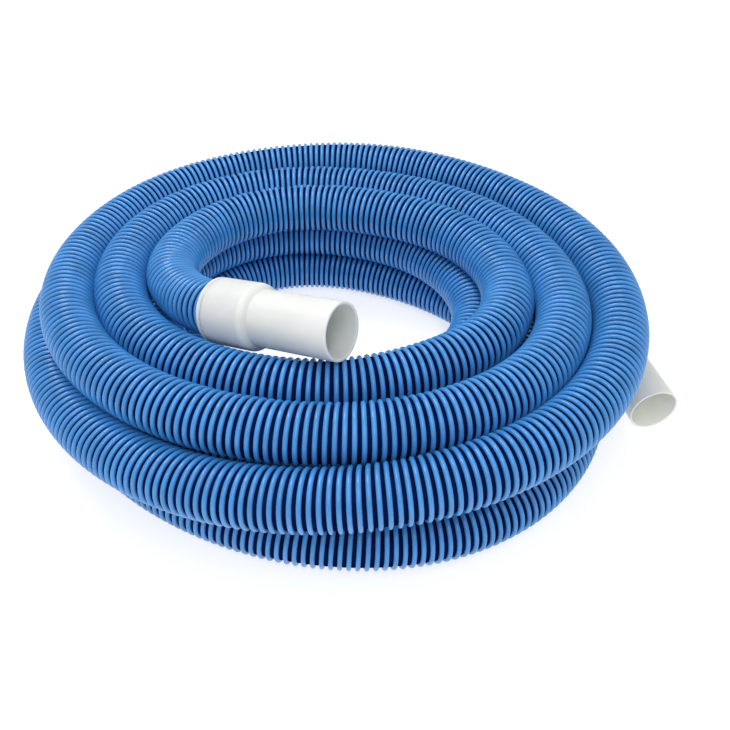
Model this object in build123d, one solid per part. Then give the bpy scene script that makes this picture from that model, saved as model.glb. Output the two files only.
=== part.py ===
"""Coiled pool vacuum hose: a ribbed hose in a three-layer coil, with a swivel cuff and a fixed cuff.

Millimetres, +Z up. The origin is the middle of the object's plan on the surface that it lies on.
The hose's own nodes are plain: the leads are bare tubes, and the coil is one closed solid of its outer shape.
"""
from build123d import *
import math
import os
from collections import namedtuple

# Hose
HOSE_OD = 44.5
HOSE_BORE = 38.1
HOSE_R = HOSE_OD / 2

# Coil. A layer is a flat spiral: turn 0 is at the left, and each turn goes left, back, right, front.
# radius is the centreline's at the first turn, oval is how far the spiral swells along and across its axes.
Layer = namedtuple("Layer", "first last radius pitch centre oval height")
TOP = Layer(0.0, 2.62, 120.4, 44.85, (-19.3, -1.8), (12.7, -7.1), 101.5)
MIDDLE = Layer(2.62, 5.65, 251.4, -44.7, (-17.5, 9.4), (11.0, -5.9), 62.0)
FLOOR = Layer(5.90, 8.36, 132.8, 45.65, (-13.6, -6.2), (9.5, -15.7), HOSE_R)
STEPS_PER_TURN = 48
SECTION_SIDES = 16  # of the polygon that stands for the hose's round section

# Routes of the two stretches that leave the coil, from the cuff to the coil. ARC is the share of a run
# that an arc may take.
ARC = 0.45
NEAR_ROUTE = [(-67.5, -92.7, 128.6), (-99.0, -75.8, 121.2), (-127.7, -50.4, 112.0), (-151.1, -15.0, 106.5),
              (-154.3, 27.2, 104.0)]
FAR_ROUTE = [(248.5, -2.6, 24.1), (239.8, 38.1, 24.5), (217.1, 82.7, 24.0), (180.2, 130.4, 22.5),
             (122.6, 179.3, 22.25)]

# Cuffs, measured back from the mouth along the axis
BORE_R = 19.35
LIP_ROUND = 0.75
FIT = 0.05

SWIVEL_MOUTH = Vector(3.3, -130.8, 145.4)
SWIVEL_AZIMUTH = -28.3
SWIVEL_RISE = 11.8
SWIVEL_SPIGOT_R = 21.75
SWIVEL_SPIGOT_END = 69.5
SWIVEL_SHOULDER = 73.3
SWIVEL_SOCKET_R = 26.0
SWIVEL_END = 110.5
RETAINER_END = 114.5
COLLAR_FRONT = 80.0
COLLAR_STOP = 82.0
COLLAR_BORE_R = HOSE_R + FIT
COLLAR_R = 23.55
COLLAR_FLANGE = (105.5, 110.0)
CHAMBER_FRONT = 76.5
CHAMBER_R = 24.15
SEAL_R = (20.2, 23.9)
SEAL_GAP = 0.1

FIXED_MOUTH = Vector(264.6, -77.1, 23.2)
FIXED_AZIMUTH = -77.8
FIXED_RISE = -0.7
FIXED_SPIGOT_R = 20.9
FIXED_SPIGOT_END = 66.0
FIXED_SHOULDER = 68.8
FIXED_SOCKET_R = 24.0
FIXED_STOP = 76.0
FIXED_END = 111.0

SHOULDER_ROUND = 7.0
NECK_ROUND = 0.5
SOCKET_ROUND = 0.7


def strand_point(layer, turn, outward, height):
    """A point beside the layer's centreline, moved outward from the coil's middle, at the given height."""
    angle = math.pi - 2 * math.pi * turn
    swell = layer.oval[0] * math.cos(2 * angle) + layer.oval[1] * math.sin(2 * angle)
    radius = layer.radius + layer.pitch * (turn - layer.first) + swell + outward
    x = layer.centre[0] + radius * math.cos(angle)
    y = layer.centre[1] + radius * math.sin(angle)
    return (x, y, height)


def turn_outline(layer, start, outward, height):
    """One whole turn as a closed outline, with a step as wide as the pitch where its ends meet."""
    turns = [start + step / STEPS_PER_TURN for step in range(STEPS_PER_TURN + 1)]
    points = [strand_point(layer, turn, outward, height) for turn in turns]
    return Wire.make_polygon([Vector(*point) for point in points], close=True)


def layer_ring(layer):
    """A flat ring around all of a layer's strands, with its edges rounded as the hose is."""
    grows = layer.pitch > 0
    outer_start = layer.last - 1 if grows else layer.first
    inner_start = layer.first if grows else layer.last - 1
    corner_r = HOSE_R / math.cos(math.pi / SECTION_SIDES)
    angles = [math.pi * ((2 * side + 1) / SECTION_SIDES - 0.5) for side in range(SECTION_SIDES // 2)]
    levels = [(corner_r * math.cos(angle), layer.height + corner_r * math.sin(angle)) for angle in angles]
    outer = [turn_outline(layer, outer_start, reach, height) for reach, height in levels]
    inner = [turn_outline(layer, inner_start, -reach, height) for reach, height in levels]
    return Solid.make_loft(outer, ruled=True) - Solid.make_loft(inner, ruled=True)


def hose_coil():
    return layer_ring(FLOOR) + layer_ring(MIDDLE) + layer_ring(TOP)


def lead_path(route):
    """Straight runs joined by tangent arcs that are as large as the runs allow."""
    points = [Vector(*point) for point in route]
    runs = [after - before for before, after in zip(points, points[1:])]
    radii = []
    for before, after in zip(runs, runs[1:]):
        half_turn = math.radians(before.get_angle(after)) / 2
        radii.append(ARC * min(before.length, after.length) / math.tan(half_turn))
    print("radii", [round(radius) for radius in radii], "runs", [round(run.length) for run in runs])
    return FilletPolyline(*points, radius=radii)


def lead(route):
    """The hose's plain tube along a route."""
    path = lead_path(route)
    start = Plane(origin=path @ 0, z_dir=path % 0)
    tube = sweep(start * (Circle(HOSE_R) - Circle(HOSE_BORE / 2)), path=path)
    section = math.pi * (HOSE_R**2 - HOSE_BORE**2 / 4)
    print("tube volume", round(tube.volume), "section x length", round(section * path.length))
    return tube


def travel_plane(layer, turn):
    """The upright plane across a layer's strands at a turn, facing along the hose towards the fixed cuff."""
    angle = math.pi - 2 * math.pi * turn
    travel = (math.sin(angle), -math.cos(angle), 0)
    return Plane(origin=(*layer.centre, 0), z_dir=travel)


def hose_near_lead():
    """From the swivel collar's stop to the step where the top layer begins."""
    return split(lead(NEAR_ROUTE), bisect_by=travel_plane(TOP, TOP.first), keep=Keep.BOTTOM)


def hose_far_lead():
    """From the step where the floor layer ends to the fixed cuff's stop."""
    return split(lead(FAR_ROUTE), bisect_by=travel_plane(FLOOR, FLOOR.last), keep=Keep.TOP)


def cuff_frame(mouth, azimuth, rise):
    a, e = math.radians(azimuth), math.radians(rise)
    axis = (math.cos(e) * math.cos(a), math.cos(e) * math.sin(a), math.sin(e))
    return Plane(origin=mouth, z_dir=axis)


def turned(profile, mouth, azimuth, rise):
    """A piece turned about a cuff's axis, from corners of (distance back from the mouth, radius, rounding)."""
    face = make_face(Polyline(*[(radius, -back) for back, radius, rounding in profile], close=True))
    for back, radius, rounding in profile:
        if rounding:
            corner = face.vertices().sort_by_distance((radius, -back))[0]
            face = fillet(corner, rounding)
    return cuff_frame(mouth, azimuth, rise) * revolve(Plane.XZ * face, Axis.Z)


def spigot_profile(spigot_r, spigot_end, shoulder, socket_r):
    """The outside of a cuff from its rounded mouth to the start of its socket."""
    return [(0, BORE_R, LIP_ROUND), (0, spigot_r, LIP_ROUND), (spigot_end, spigot_r, NECK_ROUND),
            (shoulder, socket_r, SHOULDER_ROUND)]


def swivel_cuff():
    profile = spigot_profile(SWIVEL_SPIGOT_R, SWIVEL_SPIGOT_END, SWIVEL_SHOULDER, SWIVEL_SOCKET_R)
    profile += [(SWIVEL_END, SWIVEL_SOCKET_R, 0), (SWIVEL_END, CHAMBER_R, 0), (CHAMBER_FRONT, CHAMBER_R, 0),
                (CHAMBER_FRONT, BORE_R, 0)]
    return turned(profile, SWIVEL_MOUTH, SWIVEL_AZIMUTH, SWIVEL_RISE)


def swivel_retainer():
    inner, outer = COLLAR_R + FIT, SWIVEL_SOCKET_R
    profile = [(SWIVEL_END, inner, 0), (SWIVEL_END, outer, 0), (RETAINER_END, outer, SOCKET_ROUND),
               (RETAINER_END, inner, SOCKET_ROUND)]
    return turned(profile, SWIVEL_MOUTH, SWIVEL_AZIMUTH, SWIVEL_RISE)


def swivel_collar():
    """The sleeve that screws onto the hose's rib, with a stop lip in front and a flange behind."""
    flange_front, flange_back = COLLAR_FLANGE
    flange_r = CHAMBER_R - FIT
    profile = [(COLLAR_FRONT, BORE_R, 0), (COLLAR_FRONT, COLLAR_R, 0), (flange_front, COLLAR_R, 0),
               (flange_front, flange_r, 0), (flange_back, flange_r, 0), (flange_back, COLLAR_R, 0),
               (RETAINER_END, COLLAR_R, 0), (RETAINER_END, COLLAR_BORE_R, 0),
               (COLLAR_STOP, COLLAR_BORE_R, 0), (COLLAR_STOP, BORE_R, 0)]
    return turned(profile, SWIVEL_MOUTH, SWIVEL_AZIMUTH, SWIVEL_RISE)


def swivel_seal():
    """The rubber ring between the collar's front and the cuff's inner shoulder."""
    inner, outer = SEAL_R
    front = CHAMBER_FRONT + SEAL_GAP
    profile = [(front, inner, 0), (front, outer, 0), (COLLAR_FRONT, outer, 0), (COLLAR_FRONT, inner, 0)]
    return turned(profile, SWIVEL_MOUTH, SWIVEL_AZIMUTH, SWIVEL_RISE)


def fixed_cuff():
    profile = spigot_profile(FIXED_SPIGOT_R, FIXED_SPIGOT_END, FIXED_SHOULDER, FIXED_SOCKET_R)
    profile += [(FIXED_END, FIXED_SOCKET_R, SOCKET_ROUND), (FIXED_END, COLLAR_BORE_R, SOCKET_ROUND),
                (FIXED_STOP, COLLAR_BORE_R, 0), (FIXED_STOP, BORE_R, 0)]
    return turned(profile, FIXED_MOUTH, FIXED_AZIMUTH, FIXED_RISE)


NODES = {
    "hose_coil": hose_coil,
    "hose_near_lead": hose_near_lead,
    "hose_far_lead": hose_far_lead,
    "swivel_cuff": swivel_cuff,
    "swivel_retainer": swivel_retainer,
    "swivel_collar": swivel_collar,
    "swivel_seal": swivel_seal,
    "fixed_cuff": fixed_cuff,
}

os.makedirs("parts", exist_ok=True)
for name, make in NODES.items():
    export_step(make(), f"parts/{name}.step")
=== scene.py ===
"""Looks of the coiled pool vacuum hose: a ribbed hose in a three-layer coil with two off-white cuffs."""
import math
from collections import namedtuple

import bpy
import numpy as np
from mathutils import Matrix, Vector


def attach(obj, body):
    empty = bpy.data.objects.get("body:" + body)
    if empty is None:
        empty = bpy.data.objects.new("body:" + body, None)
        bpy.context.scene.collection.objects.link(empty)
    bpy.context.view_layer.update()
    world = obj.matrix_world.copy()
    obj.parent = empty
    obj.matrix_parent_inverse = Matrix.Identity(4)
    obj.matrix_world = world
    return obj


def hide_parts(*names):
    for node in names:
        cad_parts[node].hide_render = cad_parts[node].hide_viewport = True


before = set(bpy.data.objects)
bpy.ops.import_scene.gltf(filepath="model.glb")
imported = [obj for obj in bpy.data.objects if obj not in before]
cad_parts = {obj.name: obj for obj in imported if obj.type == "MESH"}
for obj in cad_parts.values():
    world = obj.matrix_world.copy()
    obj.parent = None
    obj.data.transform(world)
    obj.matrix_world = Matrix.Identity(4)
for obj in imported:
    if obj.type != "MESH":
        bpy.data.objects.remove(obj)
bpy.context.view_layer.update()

# Hose, in metres as everywhere here
HOSE_R = 0.02225
WEB_R = 0.01975
BORE_R = 0.01905
RIB_PITCH = 0.006
RIB_WIDTH = 0.0036
RIB_CROWN = 0.0017  # height of the rounded part of the rib
RIB_SINK = 0.0003  # of the rib's foot into the web, so that no gap shows
RIB_FOOT_SHARE = 0.9  # of the rib's width, at its foot
CROWN_POINTS = 6
RIB_STEPS = 36  # in each turn of the rib
RIB_PIECES = 6
WEB_STEPS = 32  # round the hose
WEB_SPACING = 0.008

# Coil: the same flat spirals as the CAD model's. Turn 0 is at the left, and each turn goes left, back,
# right, front. BULGES are the places, as (turn, outward, width in turns), where the top layer is uneven.
# Each pair after the layers is the turns over which the hose goes from one layer to the next.
Layer = namedtuple("Layer", "first last radius pitch centre oval bulges")
BULGES = [(0.35, -0.006, 0.06), (0.65, -0.007, 0.05), (1.39, -0.010, 0.11), (1.57, 0.004, 0.06),
          (1.70, 0.003, 0.07), (2.04, -0.004, 0.05), (2.28, 0.005, 0.05)]
TOP = Layer(0.0, 2.62, 0.1204, 0.04485, (-0.0193, -0.0018), (0.0127, -0.0071), BULGES)
MIDDLE = Layer(2.62, 5.65, 0.2514, -0.0447, (-0.0175, 0.0094), (0.0110, -0.0059), [])
FLOOR = Layer(5.90, 8.36, 0.1328, 0.04565, (-0.0136, -0.0062), (0.0095, -0.0157), [])
TOP_TO_MIDDLE = (2.50, 2.97)
MIDDLE_TO_FLOOR = (5.72, 6.15)
DROP_TO_FLOOR = (5.60, 5.95)

# How the layers lie on each other. Strands keep STRAND_GAP between their centres, a little less than the
# hose's diameter because ribs mesh, and the hose evens out its heights over EVEN_STEPS samples each way.
STRAND_GAP = 0.0432
NEST_RISE = math.sqrt(STRAND_GAP**2 - HOSE_R**2)  # of a strand in the hollow between two others
TOP_SAG = 0.003
SAMPLES_PER_TURN = 96
EVEN_STEPS = 6
OVERRUN = 0.35  # turns past a layer's ends at which its heights are still worked out

# The spline's control points: the routes of the two stretches that leave the coil, and the coil's steps
NEAR_ROUTE = [(-0.0675, -0.0927, 0.1286), (-0.0990, -0.0758, 0.1212), (-0.1277, -0.0504, 0.1120),
              (-0.1511, -0.0150, 0.1065), (-0.1543, 0.0272, 0.1040)]
FAR_ROUTE = [(0.2485, -0.0026, 0.0241), (0.2398, 0.0381, 0.0245), (0.2171, 0.0827, 0.0240),
             (0.1802, 0.1304, 0.0225)]
POINTS_PER_TURN = 24
FIRST_STEP = 2
LAST_STEP = 200
SPLINE_GAIN = 4 / (3 + math.cos(math.tau / POINTS_PER_TURN))  # the spline runs this much inside its points
SPLINE_STEPS = 16  # between two control points

CAMERA_PLACE = (0.0310, -0.5279, 0.4625)
CAMERA_TILT = 48.84
CAMERA_TURN = 1.71
CAMERA_LENS = 35.95
FLOOR_REACH = 40.0


# ---------------------------------------------------------------- route

def ease(turns, low, high):
    """A smooth step from 0 at low to 1 at high."""
    share = np.clip((turns - low) / (high - low), 0.0, 1.0)
    return share * share * (3 - 2 * share)


def spiral(layer, turns):
    """The plan of a layer's centreline at some turns."""
    angle = math.pi - math.tau * turns
    swell = layer.oval[0] * np.cos(2 * angle) + layer.oval[1] * np.sin(2 * angle)
    radius = layer.radius + layer.pitch * (turns - layer.first) + swell
    for turn, outward, width in layer.bulges:
        radius = radius + outward * np.exp(-((turns - turn) / width) ** 2 / 2)
    x = layer.centre[0] + radius * np.cos(angle)
    y = layer.centre[1] + radius * np.sin(angle)
    return np.stack([x, y], axis=1)


def layer_turns(layer):
    return np.arange(layer.first - OVERRUN, layer.last + OVERRUN, 1 / SAMPLES_PER_TURN)


def lie_on(layer, turns, below, least):
    """The heights at which a layer lies on the points of the strands below it, and at least at one height."""
    gap = np.linalg.norm(spiral(layer, turns)[:, None, :] - below[None, :, :2], axis=2)
    touching = below[:, 2] + np.sqrt(np.maximum(STRAND_GAP**2 - gap**2, 0.0))
    heights = np.where(gap < STRAND_GAP, touching, least).max(axis=1)
    window = 2 * EVEN_STEPS + 1
    padded = np.pad(np.maximum(heights, least), EVEN_STEPS, mode="edge")
    return np.convolve(padded, np.full(window, 1 / window), "valid")


def strand_points(layer, turns, heights):
    """The points of the layer's own turns, without the overrun."""
    own = (turns > layer.first) & (turns < layer.last)
    return np.column_stack([spiral(layer, turns), heights])[own]


def coil_points(turns):
    """The spiral out on top, then in on the middle layer, then out on the floor."""
    floor_turns = layer_turns(FLOOR)
    floor_points = strand_points(FLOOR, floor_turns, np.full(len(floor_turns), HOSE_R))
    middle_turns = layer_turns(MIDDLE)
    middle_heights = lie_on(MIDDLE, middle_turns, floor_points, HOSE_R + NEST_RISE)
    middle_points = strand_points(MIDDLE, middle_turns, middle_heights)
    top_turns = layer_turns(TOP)
    lowest = middle_points[:, 2].mean() + NEST_RISE - TOP_SAG
    top_heights = lie_on(TOP, top_turns, middle_points, lowest)

    to_middle = ease(turns, *TOP_TO_MIDDLE)
    to_floor = ease(turns, *MIDDLE_TO_FLOOR)
    drop = ease(turns, *DROP_TO_FLOOR)
    plan = np.stack([spiral(layer, turns) for layer in (TOP, MIDDLE, FLOOR)])
    centres = np.array([layer.centre for layer in (TOP, MIDDLE, FLOOR)])[:, None, :]
    plan = centres + SPLINE_GAIN * (plan - centres)
    upper = plan[0] + (plan[1] - plan[0]) * to_middle[:, None]
    flat = upper + (plan[2] - upper) * to_floor[:, None]
    high = np.interp(turns, top_turns, top_heights)
    middle = np.interp(turns, middle_turns, middle_heights)
    height = high + (middle - high) * to_middle
    return np.column_stack([flat, height + (HOSE_R - height) * drop])


def hose_route():
    """The spline's control points, from the swivel cuff to the fixed cuff."""
    turns = np.arange(FIRST_STEP, LAST_STEP + 1) / POINTS_PER_TURN
    return np.concatenate([NEAR_ROUTE, coil_points(turns), FAR_ROUTE[::-1]])


def spline_line(points):
    """The points of a smooth line through the route, read from its NURBS spline."""
    curve = bpy.data.curves.new("hose_route", "CURVE")
    curve.dimensions = "3D"
    curve.resolution_u = SPLINE_STEPS
    spline = curve.splines.new("NURBS")
    spline.points.add(len(points) - 1)
    for knot, point in zip(spline.points, points):
        knot.co = (*point, 1.0)
    spline.order_u = 3
    spline.use_endpoint_u = True
    holder = bpy.data.objects.new("hose_route", curve)
    mesh = bpy.data.meshes.new_from_object(holder)
    line = np.array([vertex.co[:] for vertex in mesh.vertices])
    bpy.data.objects.remove(holder)
    bpy.data.meshes.remove(mesh)
    return line


def unit(vectors):
    return vectors / np.linalg.norm(vectors, axis=1)[:, None]


class Centreline:
    """A line with its length, and an upright frame at any distance along it."""

    def __init__(self, line):
        self.line = line
        steps = np.linalg.norm(np.diff(line, axis=0), axis=1)
        self.distance = np.concatenate([[0.0], np.cumsum(steps)])
        self.length = float(self.distance[-1])
        self.tangent = np.gradient(line, self.distance, axis=0)

    def spread(self, values, distance):
        return np.stack([np.interp(distance, self.distance, values[:, axis]) for axis in range(3)], axis=1)

    def at(self, distance):
        """Places, and unit vectors along the line, upward and to its side."""
        place = self.spread(self.line, distance)
        along = unit(self.spread(self.tangent, distance))
        up = unit(np.array([0.0, 0.0, 1.0]) - along * along[:, 2:3])
        return place, along, up, np.cross(along, up)


# ---------------------------------------------------------------- meshes

def grid_faces(rows, columns, closed_rows=False):
    """Quads between successive rows of a grid whose columns close on themselves."""
    row, column = np.meshgrid(np.arange(rows if closed_rows else rows - 1), np.arange(columns), indexing="ij")
    following = (column + 1) % columns
    above = (row + 1) % rows
    quads = [row * columns + column, above * columns + column, above * columns + following,
             row * columns + following]
    return np.stack(quads, axis=-1).reshape(-1, 4)


def mesh_piece(name, points, faces, material):
    """A smooth mesh object from arrays, with its material in its one material slot."""
    mesh = bpy.data.meshes.new(name)
    mesh.from_pydata(points.tolist(), [], faces)
    mesh.polygons.foreach_set("use_smooth", [True] * len(mesh.polygons))
    mesh.materials.append(material)
    mesh.validate()
    mesh.update()
    piece = bpy.data.objects.new(name, mesh)
    bpy.context.scene.collection.objects.link(piece)
    return piece


def hose_web(line, material):
    """The hose's thin wall: a tube with an outside, a bore and a rim at each end."""
    rows = int(line.length / WEB_SPACING) + 1
    place, along, up, side = line.at(np.linspace(0, line.length, rows))
    angle = np.linspace(0, math.tau, WEB_STEPS, endpoint=False)[None, :, None]
    out = np.cos(angle) * up[:, None, :] + np.sin(angle) * side[:, None, :]
    outside = place[:, None, :] + WEB_R * out
    bore = place[:, None, :] + BORE_R * out
    points = np.concatenate([bore, outside[::-1]]).reshape(-1, 3)
    faces = grid_faces(2 * rows, WEB_STEPS, closed_rows=True)
    return mesh_piece("hose_web", points, faces.tolist(), material)


def rib_section():
    """The rib's cross-section as (out from the centreline, along the hose), foot first."""
    half, foot, waist = RIB_WIDTH / 2, WEB_R - RIB_SINK, HOSE_R - RIB_CROWN
    angles = np.linspace(0, math.pi, CROWN_POINTS)
    crown = [(waist + RIB_CROWN * math.sin(angle), half * math.cos(angle)) for angle in angles]
    return np.array([(foot, half * RIB_FOOT_SHARE)] + crown + [(foot, -half * RIB_FOOT_SHARE)])


def hose_rib(line, number, material):
    """One stretch of the rib, a bead that winds round the web. Its ends are underneath, out of sight."""
    turns = int(line.length / RIB_PITCH) - 1
    first = round(turns * number / RIB_PIECES) + 0.5
    last = round(turns * (number + 1) / RIB_PIECES) + 0.5
    turn = np.linspace(first, last, int((last - first) * RIB_STEPS) + 1)
    place, along, up, side = line.at(turn * RIB_PITCH)
    angle = (math.tau * turn)[:, None]
    out = np.cos(angle) * up - np.sin(angle) * side
    section = rib_section()
    points = (place[:, None, :] + section[None, :, 0:1] * out[:, None, :]
              + section[None, :, 1:2] * along[:, None, :])
    sides = len(section)
    faces = grid_faces(len(turn), sides).tolist()
    end = (len(turn) - 1) * sides
    faces += [list(range(sides)), [end + corner for corner in reversed(range(sides))]]
    return mesh_piece(f"hose_rib_{number + 1}", points.reshape(-1, 3), faces, material)


# ---------------------------------------------------------------- materials

class Shader:
    """A Principled material with short calls for its nodes. Places in the textures are in metres."""

    def __init__(self, name, roughness):
        self.material = bpy.data.materials.new(name)
        self.material.use_nodes = True
        self.tree = self.material.node_tree
        self.surface = self.tree.nodes["Principled BSDF"]
        self.surface.inputs["Roughness"].default_value = roughness
        self.places = self.tree.nodes.new("ShaderNodeTexCoord").outputs["Object"]

    def link(self, source, target):
        self.tree.links.new(source, target)

    def noise(self, scale, detail=3.0):
        node = self.tree.nodes.new("ShaderNodeTexNoise")
        node.inputs["Scale"].default_value = scale
        node.inputs["Detail"].default_value = detail
        self.link(self.places, node.inputs["Vector"])
        return node.outputs["Fac"]

    def ramp(self, value, low, high, colours):
        node = self.tree.nodes.new("ShaderNodeValToRGB")
        first, last = node.color_ramp.elements
        first.position, last.position = low, high
        first.color = (*colours[0], 1.0)
        last.color = (*colours[1], 1.0)
        self.link(value, node.inputs["Fac"])
        return node.outputs["Color"]

    def between(self, value, low, high):
        """A number that goes from low to high as a noise goes through the middle of its range."""
        node = self.tree.nodes.new("ShaderNodeMapRange")
        node.inputs["From Min"].default_value = 0.3
        node.inputs["From Max"].default_value = 0.7
        node.inputs["To Min"].default_value = low
        node.inputs["To Max"].default_value = high
        self.link(value, node.inputs["Value"])
        return node.outputs["Result"]

    def colour(self, value):
        self.link(value, self.surface.inputs["Base Color"])

    def roughness(self, value):
        self.link(value, self.surface.inputs["Roughness"])

    def bump(self, height, strength, distance):
        node = self.tree.nodes.new("ShaderNodeBump")
        node.inputs["Strength"].default_value = strength
        node.inputs["Distance"].default_value = distance
        self.link(height, node.inputs["Height"])
        self.link(node.outputs["Normal"], self.surface.inputs["Normal"])


def scaled(colour, share):
    """A lighter or darker shade of a colour."""
    return tuple(min(1.0, part * share) for part in colour)


def rib_blue():
    shader = Shader("rib_blue", 0.3)
    blue = (0.057, 0.275, 0.67)
    shader.colour(shader.ramp(shader.noise(55.0), 0.35, 0.65, [scaled(blue, 0.88), scaled(blue, 1.08)]))
    shader.roughness(shader.between(shader.noise(240.0), 0.18, 0.28))
    shader.bump(shader.noise(1500.0), 0.2, 0.0002)
    shader.surface.inputs["Specular IOR Level"].default_value = 0.55
    return shader.material


def web_navy():
    shader = Shader("web_navy", 0.65)
    navy = (0.0015, 0.009, 0.056)
    shader.colour(shader.ramp(shader.noise(90.0), 0.35, 0.65, [scaled(navy, 0.7), scaled(navy, 1.3)]))
    shader.roughness(shader.between(shader.noise(300.0), 0.6, 0.72))
    shader.bump(shader.noise(400.0), 0.15, 0.0002)
    shader.surface.inputs["Specular IOR Level"].default_value = 0.0
    return shader.material


def cuff_white():
    shader = Shader("cuff_white", 0.4)
    white = (0.755, 0.772, 0.735)
    shader.colour(shader.ramp(shader.noise(35.0), 0.35, 0.65, [scaled(white, 0.97), scaled(white, 1.02)]))
    shader.roughness(shader.between(shader.noise(180.0), 0.34, 0.48))
    shader.bump(shader.noise(900.0), 0.12, 0.0002)
    shader.surface.inputs["Subsurface Weight"].default_value = 0.8
    shader.surface.inputs["Subsurface Scale"].default_value = 1.0
    shader.surface.inputs["Subsurface Radius"].default_value = (0.006, 0.006, 0.005)
    return shader.material


def seal_rubber():
    shader = Shader("seal_rubber", 0.7)
    black = (0.012, 0.012, 0.013)
    shader.colour(shader.ramp(shader.noise(120.0), 0.35, 0.65, [scaled(black, 0.8), scaled(black, 1.4)]))
    shader.roughness(shader.between(shader.noise(400.0), 0.6, 0.8))
    shader.bump(shader.noise(2000.0), 0.3, 0.0002)
    return shader.material


def studio_white():
    """A lit floor, as of a product booth, which keeps shadows faint."""
    shader = Shader("studio_white", 0.7)
    white = (0.53, 0.53, 0.53)
    shader.colour(shader.ramp(shader.noise(3.0), 0.3, 0.7, [scaled(white, 0.995), white]))
    shader.surface.inputs["Specular IOR Level"].default_value = 0.1
    shader.surface.inputs["Emission Color"].default_value = (1, 1, 1, 1)
    shader.surface.inputs["Emission Strength"].default_value = 0.67
    return shader.material


# ---------------------------------------------------------------- stage

def add_camera():
    """A camera in front of the coil and above it, looking down at it."""
    data = bpy.data.cameras.new("camera")
    data.sensor_width = 36.0
    data.lens = CAMERA_LENS
    camera = bpy.data.objects.new("camera", data)
    camera.location = CAMERA_PLACE
    camera.rotation_euler = (math.radians(CAMERA_TILT), 0, math.radians(CAMERA_TURN))
    bpy.context.scene.collection.objects.link(camera)
    bpy.context.scene.camera = camera


def add_softbox(name, place, size, watts):
    """A panel of light, so wide and so tall, that faces the coil."""
    data = bpy.data.lights.new(name, "AREA")
    data.shape = "RECTANGLE"
    data.size, data.size_y = size
    data.energy = watts
    lamp = bpy.data.objects.new(name, data)
    lamp.location = place
    lamp.rotation_euler = (Vector((0, 0, 0.05)) - Vector(place)).to_track_quat("-Z", "Y").to_euler()
    bpy.context.scene.collection.objects.link(lamp)


def add_floor(material):
    mesh = bpy.data.meshes.new("floor")
    corners = [(x * FLOOR_REACH, y * FLOOR_REACH, 0) for x, y in ((-1, -1), (1, -1), (1, 1), (-1, 1))]
    mesh.from_pydata(corners, [], [(0, 1, 2, 3)])
    mesh.materials.append(material)
    floor = bpy.data.objects.new("floor", mesh)
    bpy.context.scene.collection.objects.link(floor)


def add_studio():
    world = bpy.data.worlds.new("studio")
    world.use_nodes = True
    background = world.node_tree.nodes["Background"]
    background.inputs["Color"].default_value = (1, 1, 1, 1)
    background.inputs["Strength"].default_value = 0.64
    bpy.context.scene.world = world
    bpy.context.scene.view_settings.view_transform = "Standard"
    add_softbox("back_softbox", (-0.5, 0.4, 1.3), (0.5, 0.9), 9)
    add_softbox("front_softbox", (0.05, -0.75, 1.2), (0.2, 0.9), 5)
    add_floor(studio_white())


# ---------------------------------------------------------------- pieces

def build_hose():
    """The web and the ribs, each attached to the hose's body in place of the CAD hose, which is hidden."""
    blue, navy = rib_blue(), web_navy()
    line = Centreline(spline_line(hose_route()))
    web = hose_web(line, navy)
    ribs = [hose_rib(line, number, blue) for number in range(RIB_PIECES)]
    for piece in [web] + ribs:
        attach(piece, "hose")
    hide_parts("hose_coil", "hose_near_lead", "hose_far_lead")


def dress_cuffs():
    white, black = cuff_white(), seal_rubber()
    finish = {"swivel_cuff": white, "swivel_retainer": white, "swivel_collar": white, "fixed_cuff": white,
              "swivel_seal": black}
    for node, material in finish.items():
        for holder in bpy.data.objects[node].material_slots:
            holder.material = material


add_camera()
build_hose()
dress_cuffs()
add_studio()
